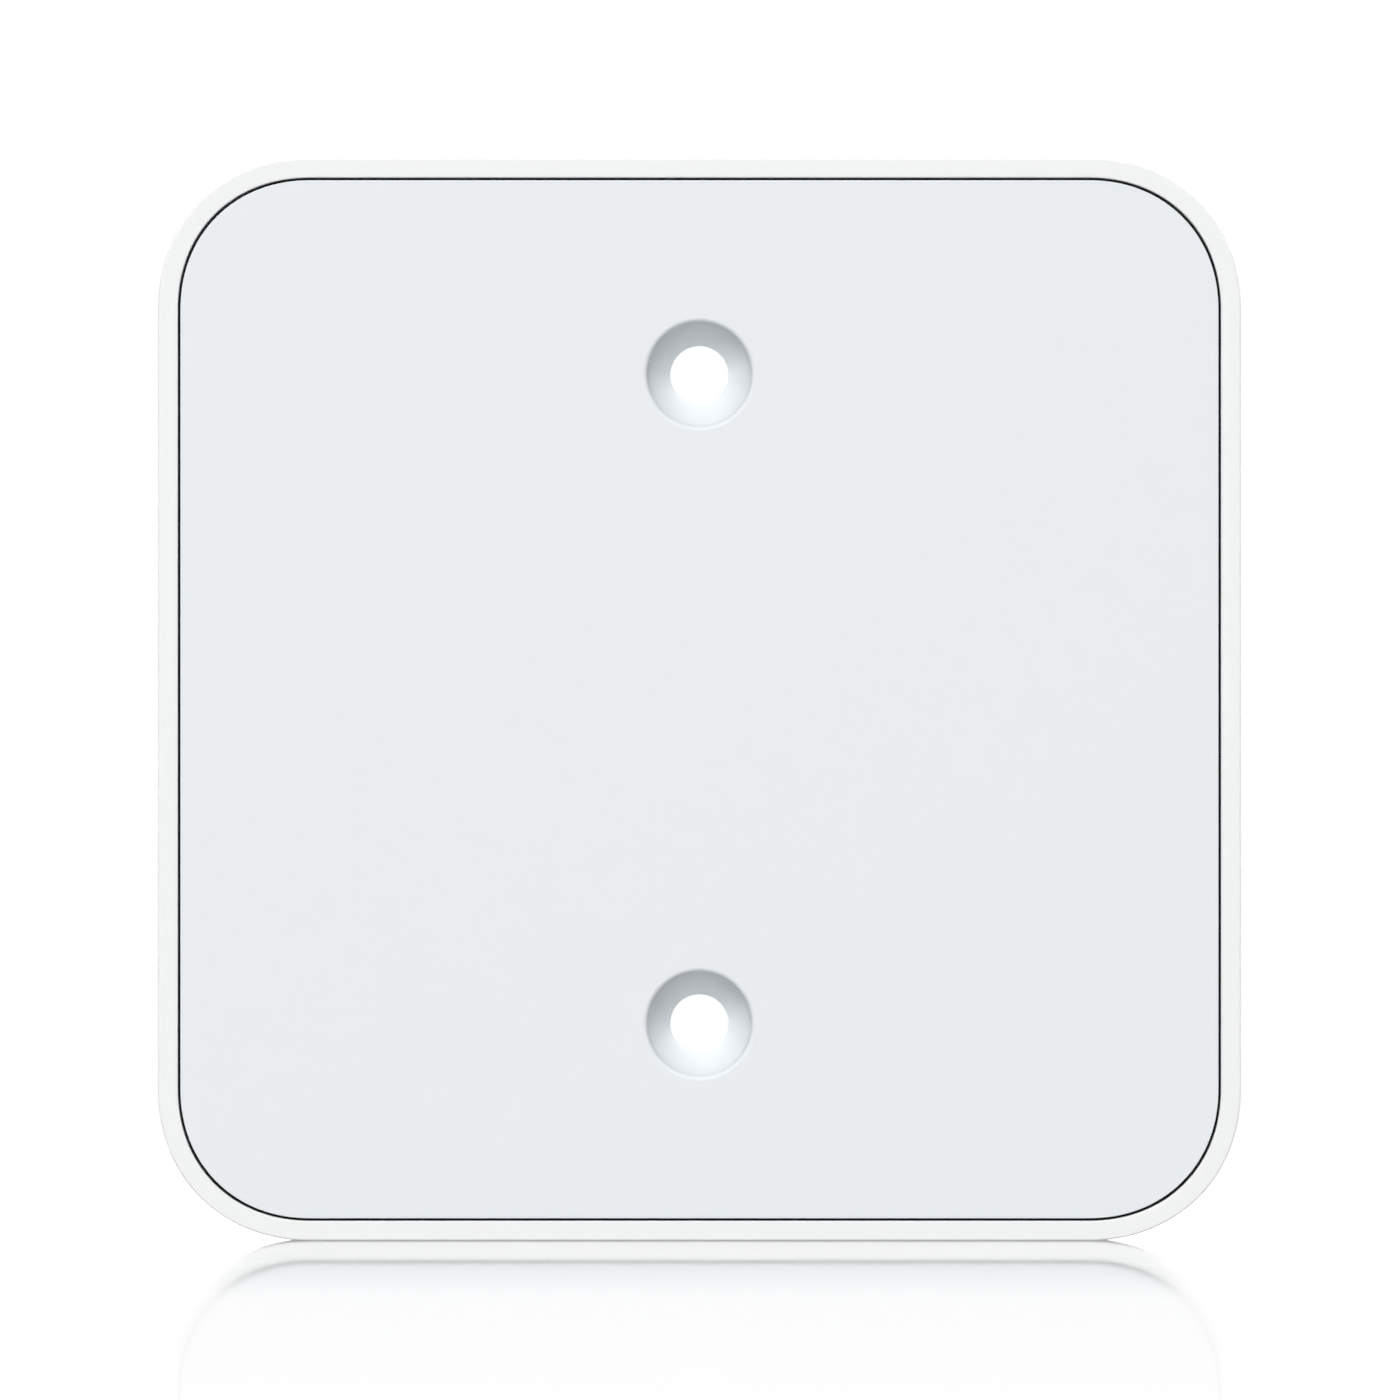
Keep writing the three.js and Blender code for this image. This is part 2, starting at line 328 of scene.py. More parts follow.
def eased_slab(half, corner, back, front):
    """A slab with the plate's own outline: a square with eased corners."""
    fullness = bpy.context.scene.plate_sizes.corner_fullness
    return slab(2 * half, 2 * half, corner, back, front, fullness=fullness, segments=32)


def turned(at, profile, sides=64):
    """A turned solid: a disc extruded and scaled along the depth through (radius, y) steps."""
    clear_selection()
    radius, y = profile[0]
    bpy.ops.mesh.primitive_circle_add(
        vertices=sides,
        radius=radius,
        fill_type="NGON",
        location=(at[0], y, at[1]),
        rotation=UPRIGHT,
    )
    piece = edit_new()
    for next_radius, next_y in profile[1:]:
        extrude(next_y - y)
        ratio = next_radius / radius
        bpy.ops.transform.resize(value=(ratio, 1, ratio), center_override=(at[0], next_y, at[1]))
        radius, y = next_radius, next_y
    bpy.ops.mesh.select_all(action="SELECT")
    bpy.ops.mesh.normals_make_consistent(inside=False)
    clear_selection()
    return piece


def rod(at, radius, back, front, sides=48):
    """A plain round bar along the depth, to join on or to cut with."""
    return turned(at, [(radius, back), (radius, front)], sides)


def arc(centre_radius, centre_y, radius, start, end, steps):
    """Profile steps along an arc: degrees from straight outwards, turning towards the face."""
    angles = [math.radians(start + (end - start) * i / steps) for i in range(steps + 1)]
    return [(centre_radius + radius * math.cos(a), centre_y - radius * math.sin(a)) for a in angles]


def combine(piece, tool, operation):
    """Joins the tool to the piece (UNION) or cuts it out of it (DIFFERENCE), and uses it up."""
    take(piece)
    change = piece.modifiers.new(operation.lower(), "BOOLEAN")
    change.operation = operation
    change.solver = "EXACT"
    change.object = tool
    bpy.ops.object.modifier_apply(modifier=change.name)
    bpy.data.objects.remove(tool, do_unlink=True)


def copy_to(piece, at, new_at):
    """Copies a piece, with a mesh of its own, from one place on the plate to another."""
    take(piece)
    shift = (new_at[0] - at[0], 0, new_at[1] - at[1])
    bpy.ops.object.duplicate_move(TRANSFORM_OT_translate={"value": shift})
    bpy.ops.object.transform_apply(location=True, rotation=False, scale=False)
    return bpy.context.object


def finish_piece(piece, name, material):
    """Cleans and shades a modelled piece and lets it stand for the CAD node of the same name."""
    take(piece)
    bpy.ops.object.mode_set(mode="EDIT")
    bpy.ops.mesh.select_all(action="SELECT")
    bpy.ops.mesh.remove_doubles(threshold=2e-7)
    clear_selection()
    take(piece)
    bpy.ops.object.shade_smooth_by_angle(angle=SHARP_FROM)
    even = piece.modifiers.new("even_shading", "WEIGHTED_NORMAL")
    even.keep_sharp = True
    bpy.ops.object.modifier_apply(modifier=even.name)
    piece.name = piece.data.name = f"{name}_fine"
    piece.data.materials.clear()
    piece.data.materials.append(material)
    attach(piece, "root")
    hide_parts(name)


# ---- materials ----

# The colour sockets of a Mix node, which share their names with its other sockets.
MIX_A, MIX_B, MIX_RESULT = 6, 7, 2
WHITE = (1, 1, 1, 1)


def add_node(tree, kind, inputs=(), **settings):
    """Adds a node. Each input is a value, or a (node, output) pair to link from."""
    node = tree.nodes.new(kind)
    for name, value in settings.items():
        setattr(node, name, value)
    for name, value in dict(inputs).items():
        if isinstance(value, tuple) and isinstance(value[0], bpy.types.Node):
            tree.links.new(value[0].outputs[value[1]], node.inputs[name])
        else:
            node.inputs[name].default_value = value
    return node


def new_material(name):
    """An empty node material, its tree and its object coordinates."""
    material = bpy.data.materials.get(name) or bpy.data.materials.new(name)
    material.use_nodes = True
    material.node_tree.nodes.clear()
    place = add_node(material.node_tree, "ShaderNodeTexCoord")
    return material, material.node_tree, (place, "Object")


def per_mm(millimetres):
    """The texture scale that gives a pattern of that size on object coordinates."""
    return 1000 / millimetres


def moulded_plastic(name, colour, grain, roughness):
    """Injection-moulded ABS: the spark-eroded grain breaks up the gloss into a soft satin."""
    # Such a grain is typically finer than 0.1 mm. It is drawn coarser, so that it can show.
    material, tree, place = new_material(name)
    flow = add_node(
        tree,
        "ShaderNodeTexNoise",
        {"Vector": place, "Scale": per_mm(22), "Detail": 2.0, "Roughness": 0.4},
    )
    darker = [c * 0.994 for c in colour]
    tone = add_node(
        tree,
        "ShaderNodeMix",
        {"Factor": (flow, "Fac"), MIX_A: (*darker, 1), MIX_B: (*colour, 1)},
        data_type="RGBA",
    )
    texture = add_node(
        tree,
        "ShaderNodeTexNoise",
        {"Vector": place, "Scale": per_mm(grain), "Detail": 3.0, "Roughness": 0.6},
    )
    height = (texture, "Fac")
    bump = add_node(
        tree, "ShaderNodeBump", {"Height": height, "Strength": 0.12, "Distance": 0.00002}
    )
    gloss = add_node(
        tree,
        "ShaderNodeMapRange",
        {
            "Value": height,
            "From Min": 0.3,
            "From Max": 0.7,
            "To Min": roughness - 0.04,
            "To Max": roughness + 0.04,
        },
    )
    shader = add_node(
        tree,
        "ShaderNodeBsdfPrincipled",
        {
            "Base Color": (tone, MIX_RESULT),
            "Roughness": (gloss, "Result"),
            "Normal": (bump, "Normal"),
            "IOR": 1.53,
            "Specular IOR Level": 0.25,
        },
    )
    add_node(tree, "ShaderNodeOutputMaterial", {"Surface": (shader, "BSDF")})
    return material


def white_moulded_abs():
    # The shell's satin white, neutral against the cooler panel.
    colour = bpy.context.scene.plate_colours.shell
    return moulded_plastic("white_abs_injection_moulded", colour, grain=0.3, roughness=0.5)


def cool_grey_moulded_abs():
    # The panel's very light, slightly blue grey, a little flatter in its gloss than the shell.
    colour = bpy.context.scene.plate_colours.panel
    return moulded_plastic("cool_grey_abs_injection_moulded", colour, grain=0.25, roughness=0.55)


def closed_cell_foam():
    # Black die-cut foam: so dull and dark that the seam reads as a drawn line.
    material, tree, place = new_material("black_closed_cell_foam_die_cut")
    colour = bpy.context.scene.plate_colours.gasket
    cells = add_node(tree, "ShaderNodeTexVoronoi", {"Vector": place, "Scale": per_mm(0.22)})
    lighter = [c * 1.8 for c in colour]
    tone = add_node(
        tree,
        "ShaderNodeMix",
        {"Factor": (cells, "Distance"), MIX_A: (*colour, 1), MIX_B: (*lighter, 1)},
        data_type="RGBA",
    )
    bump = add_node(
        tree,
        "ShaderNodeBump",
        {"Height": (cells, "Distance"), "Strength": 0.5, "Distance": 0.00006},
    )
    shader = add_node(
        tree,
        "ShaderNodeBsdfPrincipled",
        {
            "Base Color": (tone, MIX_RESULT),
            "Roughness": 0.95,
            "Specular IOR Level": 0.15,
            "Normal": (bump, "Normal"),
        },
    )
    add_node(tree, "ShaderNodeOutputMaterial", {"Surface": (shader, "BSDF")})
    return material


def zinc_plated_steel():
    # Cold-rolled sheet, zinc plated: fine rolling lines along the sheet and a bluish grey lustre.
    material, tree, place = new_material("steel_sheet_rolled_zinc_plated")
    stretched = add_node(tree, "ShaderNodeMapping", {"Vector": place, "Scale": (1, 1, 0.02)})
    lines = add_node(
        tree,
        "ShaderNodeTexNoise",
        {"Vector": (stretched, "Vector"), "Scale": per_mm(0.15), "Detail": 4.0},
    )
    height = (lines, "Fac")
    tone = add_node(
        tree,
        "ShaderNodeMix",
        {"Factor": height, MIX_A: (*linear("#A3A8AD"), 1), MIX_B: (*linear("#C3C8CC"), 1)},
        data_type="RGBA",
    )
    gloss = add_node(tree, "ShaderNodeMapRange", {"Value": height, "To Min": 0.28, "To Max": 0.46})
    bump = add_node(
        tree, "ShaderNodeBump", {"Height": height, "Strength": 0.2, "Distance": 0.00001}
    )
    shader = add_node(
        tree,
        "ShaderNodeBsdfPrincipled",
        {
            "Base Color": (tone, MIX_RESULT),
            "Metallic": 1.0,
            "Roughness": (gloss, "Result"),
            "Normal": (bump, "Normal"),
        },
    )
    add_node(tree, "ShaderNodeOutputMaterial", {"Surface": (shader, "BSDF")})
    return material


def nickel_plated_magnet():
    # Sintered magnet with barrel-plated nickel: bright, warm and slightly orange-peeled.
    material, tree, place = new_material("sintered_magnet_nickel_plated")
    peel = add_node(
        tree, "ShaderNodeTexNoise", {"Vector": place, "Scale": per_mm(0.8), "Detail": 2.0}
    )
    height = (peel, "Fac")
    tone = add_node(
        tree,
        "ShaderNodeMix",
        {"Factor": height, MIX_A: (*linear("#C9C6BF"), 1), MIX_B: (*linear("#D6D3CC"), 1)},
        data_type="RGBA",
    )
    bump = add_node(
        tree, "ShaderNodeBump", {"Height": height, "Strength": 0.1, "Distance": 0.00003}
    )
    shader = add_node(
        tree,
        "ShaderNodeBsdfPrincipled",
        {
            "Base Color": (tone, MIX_RESULT),
            "Metallic": 1.0,
            "Roughness": 0.16,
            "Normal": (bump, "Normal"),
        },
    )
    add_node(tree, "ShaderNodeOutputMaterial", {"Surface": (shader, "BSDF")})
    return material


def zinc_plated_screw():
    # Cold-headed screw steel with clear zinc: a blue-white shine with small tumbling marks.
    material, tree, place = new_material("screw_steel_clear_zinc")
    marks = add_node(
        tree, "ShaderNodeTexNoise", {"Vector": place, "Scale": per_mm(0.35), "Detail": 5.0}
    )
    height = (marks, "Fac")
    tone = add_node(
        tree,
        "ShaderNodeMix",
        {"Factor": height, MIX_A: (*linear("#8F979E"), 1), MIX_B: (*linear("#BAC2C9"), 1)},
        data_type="RGBA",
    )
    gloss = add_node(tree, "ShaderNodeMapRange", {"Value": height, "To Min": 0.22, "To Max": 0.42})
    shader = add_node(
        tree,
        "ShaderNodeBsdfPrincipled",
        {"Base Color": (tone, MIX_RESULT), "Metallic": 1.0, "Roughness": (gloss, "Result")},
    )
    add_node(tree, "ShaderNodeOutputMaterial", {"Surface": (shader, "BSDF")})
    return material


def silicone_rubber():
    # Moulded silicone rubber: an even mid grey, dull, with a faint dusty bloom.
    material, tree, place = new_material("silicone_rubber_moulded")
    colour = bpy.context.scene.plate_colours.pad
    bloom = add_node(
        tree, "ShaderNodeTexNoise", {"Vector": place, "Scale": per_mm(3), "Detail": 4.0}
    )
    lighter = [c * 1.12 for c in colour]
    tone = add_node(
        tree,
        "ShaderNodeMix",
        {"Factor": (bloom, "Fac"), MIX_A: (*colour, 1), MIX_B: (*lighter, 1)},
        data_type="RGBA",
    )
    skin = add_node(
        tree, "ShaderNodeTexNoise", {"Vector": place, "Scale": per_mm(0.25), "Detail": 2.0}
    )
    bump = add_node(
        tree, "ShaderNodeBump", {"Height": (skin, "Fac"), "Strength": 0.3, "Distance": 0.00003}
    )
    shader = add_node(
        tree,
        "ShaderNodeBsdfPrincipled",
        {
            "Base Color": (tone, MIX_RESULT),
            "Roughness": 0.72,
            "IOR": 1.42,
            "Normal": (bump, "Normal"),
        },
    )
    add_node(tree, "ShaderNodeOutputMaterial", {"Surface": (shader, "BSDF")})
    return material


# ---- rear shell ----

RELIEF_SIDE = 0.064
RELIEF_CORNER = 0.006
RELIEF_ROUND = 0.0002
RELIEF_DEPTH = 0.0005
RELIEF_Y = SHELL_BACK_Y - RELIEF_DEPTH
LAND_RADIUS = 0.0075  # of the full-height land about each wall screw

PAD_GAP = 0.0003
POST_RADIUS = 0.0037  # of the posts that take the panel's screws
PEG_RADIUS = 0.0015  # of the pegs that place the yoke
PEG_TIP_RADIUS = 0.0012
PEG_PLACES = ((-0.04, 0), (0.04, 0))

BOSS_CLEARANCE = 0.0068  # round the panel's bosses
SHELL_BORE = 0.003  # for the wall screws
SHELL_BORE_MOUTH = 0.0036

HEAD_HEIGHT = 0.0013  # of the panel's screws
HEAD_FRONT_Y = SCREW_HIGH.y - HEAD_HEIGHT
HEAD_POCKET = 0.0025
HEAD_POCKET_MOUTH = 0.0028
SHANK_HOLE = 0.0014

EJECTOR_RADIUS = 0.002
EJECTOR_DEPTH = 0.00008
EJECTOR_PLACES = [(x, z) for x in (-0.022, 0.022) for z in (-0.016, 0.016)]


def wall_screw_places():
    """The two wall screws' places, as x and z."""
    half = bpy.context.scene.plate_sizes.screw_spacing / 2
    return [(0, half), (0, -half)]


def shell_tray(size):
    """The shell's outer form with its rim, ledge and floor."""
    tray = eased_slab(SHELL_HALF, size.corner, SHELL_BACK_Y, FACE_Y)
    round_face_rim(size.edge_round, 6)
    pick_face_at(SHELL_BACK_Y, 1)
    round_face_rim(size.edge_round, 6)
    pick_face_at(FACE_Y, -1)
    inset(size.rim - size.edge_round)
    extrude(LEDGE_Y - FACE_Y)
    inset(SHELL_HALF - size.rim - CAVITY_HALF)
    extrude(INNER_FLOOR_Y - LEDGE_Y)
    pick_square_edges_at(FACE_Y)
    round_edges(size.rim_inner_round, 3)
    clear_selection()
    return tray


def back_relief():
    """The shallow relief in the shell's back, which leaves a round land about each wall screw."""
    relief = slab(RELIEF_SIDE, RELIEF_SIDE, RELIEF_CORNER, SHELL_BACK_Y + PAST, RELIEF_Y)
    round_face_rim(RELIEF_ROUND, 3)
    for at in wall_screw_places():
        combine(relief, rod(at, LAND_RADIUS, 2 * PAST, INNER_FLOOR_Y), "DIFFERENCE")
    return relief


def pad_well(node):
    """The slot that a grip pad sits in, a little wider than the pad all round."""
    low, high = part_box(node)
    width = high.x - low.x + 2 * PAD_GAP
    height = high.z - low.z + 2 * PAD_GAP
    well = slab(width, height, min(width, height) / 2 - HAIR, PAST, low.y, at=centre(node))
    clear_selection()
    return well


def locating_peg(at):
    """A chamfered peg that places the yoke."""
    profile = [
        (PEG_RADIUS, INNER_FLOOR_Y + BLEND),
        (PEG_RADIUS, YOKE_FRONT_Y - 0.0004),
        (PEG_TIP_RADIUS, YOKE_FRONT_Y - 0.0007),
    ]
    return turned(at, profile)


def shell_bore(at):
    """A wall screw's way through the shell's back, with a chamfered mouth."""
    profile = [
        (SHELL_BORE_MOUTH, PAST),
        (SHELL_BORE_MOUTH, SHELL_BACK_Y + 1e-5),
        (SHELL_BORE, SHELL_BACK_Y - 0.0006),
        (SHELL_BORE, FACE_Y),
    ]
    return turned(at, profile)


def head_pocket(at):
    """The pocket for a panel screw's head, with a chamfered mouth."""
    profile = [
        (HEAD_POCKET_MOUTH, PAST),
        (HEAD_POCKET_MOUTH, SHELL_BACK_Y),
        (HEAD_POCKET, SHELL_BACK_Y - 0.0003),
        (HEAD_POCKET, HEAD_FRONT_Y),
    ]
    return turned(at, profile)


def mark_moulding(shell):
    """The marks that moulding leaves: four ejector pins, and the gate's dimple with its stub."""
    for at in EJECTOR_PLACES:
        pin = rod(at, EJECTOR_RADIUS, PAST, RELIEF_Y - EJECTOR_DEPTH, sides=40)
        combine(shell, pin, "DIFFERENCE")
    dimple = [(0.003, PAST), (0.003, RELIEF_Y - 0.00005), (0.0024, RELIEF_Y - 0.0003)]
    combine(shell, turned((0, 0), dimple), "DIFFERENCE")
    stub = [(0.0008, RELIEF_Y - 0.0006), (0.0007, RELIEF_Y - 0.00015)]
    combine(shell, turned((0, 0), stub, sides=24), "UNION")


def rear_shell_piece(size):
    """The tray with everything that is joined to it and cut out of it."""
    shell = shell_tray(size)
    combine(shell, back_relief(), "DIFFERENCE")
    for node in PADS:
        combine(shell, pad_well(node), "DIFFERENCE")
    for node in SCREWS:
        post = rod(centre(node), POST_RADIUS, INNER_FLOOR_Y + BLEND, YOKE_FRONT_Y)
        combine(shell, post, "UNION")
    for at in PEG_PLACES:
        combine(shell, locating_peg(at), "UNION")
    for at in wall_screw_places():
        combine(shell, rod(at, BOSS_CLEARANCE, BOSS_END_Y, FACE_Y), "DIFFERENCE")
        combine(shell, shell_bore(at), "DIFFERENCE")
    for node in SCREWS:
        combine(shell, head_pocket(centre(node)), "DIFFERENCE")
        combine(shell, rod(centre(node), SHANK_HOLE, 0, FACE_Y, sides=32), "DIFFERENCE")
    mark_moulding(shell)
    return shell


class PLATE_OT_rear_shell(bpy.types.Operator):
    """Model the white rear shell with its rim, ledge, floor and the features on its back"""

    bl_idname = "plate.rear_shell"
    bl_label = "Rear shell"

    def execute(self, context):
        shell = rear_shell_piece(context.scene.plate_sizes)
        finish_piece(shell, "rear_shell", white_moulded_abs())
        return {"FINISHED"}


# ---- front panel ----

UNDER_ROUND = 0.00015  # of the panel's edge on its hidden side
LIP_GAP = 0.0004
LIP_HALF = CAVITY_HALF - LIP_GAP
LIP_HEIGHT = 0.0017
LIP_THICK = 0.001
RIB_HEIGHT = 0.0014
RIB_THICK = 0.0012
RIB_LENGTH = 2 * LIP_HALF - LIP_THICK
MAGNET_RING = 0.0076
MAGNET_RING_HEIGHT = 0.0025
MAGNET_POCKET = 0.00625
SCREW_BOSS = 0.003
SCREW_PILOT = 0.0013
WALL_SCREW_BOSS = 0.0065


def panel_plate(size):
    """The panel's plate with the locating lip round its underside."""
    seam_corner = size.corner - (SHELL_HALF - PANEL_HALF)
    plate = eased_slab(PANEL_HALF, seam_corner, PANEL_BACK_Y, FACE_Y)
    round_face_rim(size.panel_round, 3)
    pick_face_at(PANEL_BACK_Y, 1)
    round_face_rim(UNDER_ROUND, 2)
    pick_face_at(PANEL_BACK_Y, 1)
    inset(PANEL_HALF - UNDER_ROUND - LIP_HALF)
    extrude(LIP_HEIGHT)
    inset(LIP_THICK)
    extrude(-LIP_HEIGHT)
    clear_selection()
    return plate


def countersink(at, size):
    """A wall screw's way through the panel: bore, cone, steep step and rounded mouth."""
    steep = size.step_angle
    mouth_radius = size.cone + size.step + size.mouth_round * math.cos(steep)
    mouth_y = FACE_Y + size.mouth_round
    mouth = arc(mouth_radius, mouth_y, -size.mouth_round, -math.degrees(steep), -90, 8)
    cone_top = mouth[0][1] + size.step / math.tan(steep)
    cone_bottom = cone_top + (size.cone - size.bore) / math.tan(size.cone_angle)
    profile = [
        (size.bore, PAST),
        (size.bore, cone_bottom),
        (size.cone, cone_top),
        *mouth,
        (mouth_radius, FACE_Y - PAST),
    ]
    return turned(at, profile, sides=96)


def rib(width, height, x, z):
    """A straight rib under the panel."""
    clear_selection()
    middle = PANEL_BACK_Y + (RIB_HEIGHT - BLEND) / 2
    bpy.ops.mesh.primitive_cube_add(size=1, location=(x, middle, z))
    bpy.context.object.scale = (width, RIB_HEIGHT + BLEND, height)
    piece = edit_new()
    clear_selection()
    return piece


def front_panel_piece(size):
    """The plate with its ribs, magnet rings and bosses, and the holes in them."""
    panel = panel_plate(size)
    into = PANEL_BACK_Y - BLEND
    columns = sorted({round(centre(node)[0], 5) for node in MAGNETS})
    rows = sorted({round(centre(node)[1], 5) for node in MAGNETS})
    for x in columns:
        combine(panel, rib(RIB_THICK, RIB_LENGTH, x, 0), "UNION")
    for z in rows:
        combine(panel, rib(RIB_LENGTH, RIB_THICK, 0, z), "UNION")
    for node in MAGNETS:
        ring = rod(centre(node), MAGNET_RING, PANEL_BACK_Y + MAGNET_RING_HEIGHT, into)
        combine(panel, ring, "UNION")
    for node in SCREWS:
        combine(panel, rod(centre(node), SCREW_BOSS, YOKE_FRONT_Y, into), "UNION")
    for at in wall_screw_places():
        combine(panel, rod(at, WALL_SCREW_BOSS, BOSS_END_Y, into, sides=64), "UNION")
    for node in MAGNETS:
        combine(panel, rod(centre(node), MAGNET_POCKET, 0, PANEL_BACK_Y), "DIFFERENCE")
    for node in SCREWS:
        pilot = rod(centre(node), SCREW_PILOT, 0, PANEL_BACK_Y, sides=24)
        combine(panel, pilot, "DIFFERENCE")
    for at in wall_screw_places():
        combine(panel, countersink(at, size), "DIFFERENCE")
    return panel


class PLATE_OT_front_panel(bpy.types.Operator):
    """Model the cool grey panel with its countersunk bosses, lip, ribs and magnet rings"""

    bl_idname = "plate.front_panel"
    bl_label = "Front panel"

    def execute(self, context):
        panel = front_panel_piece(context.scene.plate_sizes)
        finish_piece(panel, "front_panel", cool_grey_moulded_abs())
        return {"FINISHED"}


# ---- gasket ----

GASKET_GAP = 0.00005


class PLATE_OT_gasket(bpy.types.Operator):
    """Model the black foam ring that lies on the shell's ledge and stands up in the seam"""

    bl_idname = "plate.gasket"
    bl_label = "Gasket"

    def execute(self, context):
        corner = context.scene.plate_sizes.corner - (SHELL_HALF - GASKET_HALF)
        ring = eased_slab(GASKET_HALF, corner, LEDGE_Y, GASKET_LOW.y)
        clear_selection()
        for edge, back in ((CAVITY_HALF, PAST), (PANEL_HALF, PANEL_BACK_Y)):
            half = edge + GASKET_GAP
            inside = eased_slab(half, corner - (GASKET_HALF - half), back, FACE_Y - PAST)
            clear_selection()
            combine(ring, inside, "DIFFERENCE")
        finish_piece(ring, "panel_gasket", closed_cell_foam())
        return {"FINISHED"}


# ---- yoke ----

YOKE_CORNER = 0.01095
YOKE_ROUND = 0.00012
WINDOW_WIDTH = 0.024
WINDOW_HEIGHT = 0.034
WINDOW_CORNER = 0.004
YOKE_BOSS_HOLE = 0.0069
YOKE_POST_HOLE = 0.0041
YOKE_PEG_HOLE = 0.0018


class PLATE_OT_yoke(bpy.types.Operator):
    """Model the stamped steel yoke behind the magnets"""

    bl_idname = "plate.yoke"
    bl_label = "Steel yoke"

    def execute(self, context):
        yoke = eased_slab(YOKE_HIGH.x, YOKE_CORNER, YOKE_HIGH.y, YOKE_FRONT_Y)
        window = slab(WINDOW_WIDTH, WINDOW_HEIGHT, WINDOW_CORNER, PAST, FACE_Y)
        combine(yoke, window, "DIFFERENCE")
        for at in wall_screw_places():
            combine(yoke, rod(at, YOKE_BOSS_HOLE, PAST, FACE_Y, sides=64), "DIFFERENCE")
        for node in SCREWS:
            combine(yoke, rod(centre(node), YOKE_POST_HOLE, PAST, FACE_Y), "DIFFERENCE")
        for at in PEG_PLACES:
            combine(yoke, rod(at, YOKE_PEG_HOLE, PAST, FACE_Y, sides=32), "DIFFERENCE")
        take(yoke)
        bpy.ops.object.mode_set(mode="EDIT")
        pick_square_edges_at(YOKE_FRONT_Y)
        round_edges(YOKE_ROUND, 3)
        finish_piece(yoke, "steel_yoke", zinc_plated_steel())
        return {"FINISHED"}


# ---- magnets ----

MAGNET_ROUND = 0.0003


class PLATE_OT_magnets(bpy.types.Operator):
    """Model one disc magnet and copy it to every place"""

    bl_idname = "plate.magnets"
    bl_label = "Magnets"

    def execute(self, context):
        first = MAGNETS[0]
        material = nickel_plated_magnet()
        flat = (MAGNET_HIGH.x - MAGNET_LOW.x) / 2 - MAGNET_ROUND
        back = arc(flat, MAGNET_HIGH.y - MAGNET_ROUND, MAGNET_ROUND, -90, 0, 4)
        front = arc(flat, MAGNET_LOW.y + MAGNET_ROUND, MAGNET_ROUND, 0, 90, 4)
        disc = turned(centre(first), [*back, *front])
        finish_piece(disc, first, material)
        for node in MAGNETS[1:]:
            copy = copy_to(disc, centre(first), centre(node))
            finish_piece(copy, node, material)
        return {"FINISHED"}


# ---- panel screws ----

CROWN_ROUND = 0.0006
THREAD_PITCH = 0.0006
THREAD_CREST = 0.0011
THREAD_ROOT = 0.00088
NECK_RADIUS = 0.00092
POINT_RADIUS = 0.00085
TIP_RADIUS = 0.0004
LOBE_RADIUS = 0.0009
LOBE_DEPTH = 0.0007
LOBE_MIDDLE = 0.87  # the outline's middle radius, as a share of its greatest
LOBE_SWELL = 0.13  # how far the outline swells out and in from there


def six_lobe_tool(at, radius, back, front):
    """A six-lobe bar: a rod whose outline is drawn in between the lobes."""
    clear_selection()
    corners = 48
    corner_angle = 360 / corners
    bpy.ops.mesh.primitive_circle_add(
        vertices=corners,
        radius=radius,
        fill_type="NGON",
        location=(at[0], back, at[1]),
        rotation=UPRIGHT,
    )
    bar = edit_new()
    for step in range(1, 5):
        off_lobe = corner_angle * step
        ratio = LOBE_MIDDLE + LOBE_SWELL * math.cos(6 * math.radians(off_lobe))

        def between(v, off_lobe=off_lobe):
            angle = math.degrees(math.atan2(v.co.z - at[1], v.co.x - at[0])) % 60
            return abs(min(angle, 60 - angle) - off_lobe) < 0.5

        pick("VERT", between)
        bpy.ops.transform.resize(value=(ratio, 1, ratio), center_override=(at[0], back, at[1]))
    pick("FACE", lambda f: True)
    extrude(front - back)
    bpy.ops.mesh.select_all(action="SELECT")
    bpy.ops.mesh.normals_make_consistent(inside=False)
    clear_selection()
    return bar


def panel_screw_piece(at):
    """A pan head screw with its thread as separate turned ridges and a six-lobe recess."""
    head = (SCREW_HIGH.x - SCREW_LOW.x) / 2
    back = SCREW_HIGH.y
    tip = SCREW_LOW.y
    crown = arc(head - CROWN_ROUND, back - CROWN_ROUND, CROWN_ROUND, -90, 0, 6)
    thread = []
    for turn in range(int((HEAD_FRONT_Y - tip - 0.0012) / THREAD_PITCH)):
        y = HEAD_FRONT_Y - 0.0005 - turn * THREAD_PITCH
        thread += [
            (THREAD_ROOT, y),
            (THREAD_CREST, y - 0.4 * THREAD_PITCH),
            (THREAD_CREST, y - 0.5 * THREAD_PITCH),
        ]
    profile = [
        *crown,
        (head, HEAD_FRONT_Y),
        (NECK_RADIUS, HEAD_FRONT_Y - 0.0001),
        *thread,
        (POINT_RADIUS, tip + 0.0005),
        (TIP_RADIUS, tip),
    ]
    screw = turned(at, profile, sides=40)
    recess = six_lobe_tool(at, LOBE_RADIUS, back + PAST, back - LOBE_DEPTH)
    combine(screw, recess, "DIFFERENCE")
    return screw


class PLATE_OT_panel_screws(bpy.types.Operator):
    """Model one six-lobe pan head screw and copy it to every place"""

    bl_idname = "plate.panel_screws"
    bl_label = "Panel screws"

    def execute(self, context):
        first = SCREWS[0]
        material = zinc_plated_screw()
        screw = panel_screw_piece(centre(first))
        finish_piece(screw, first, material)
        for node in SCREWS[1:]:
            copy = copy_to(screw, centre(first), centre(node))
            finish_piece(copy, node, material)
        return {"FINISHED"}


# ---- grip pads ----

PAD_ROUND = 0.00025
GROOVES = 9
GROOVE_PITCH = 0.0025
GROOVE_WIDTH = 0.0006
GROOVE_DEPTH = 0.0002
GROOVE_INSET = 0.0008  # from the pad's long edges to the grooves' ends


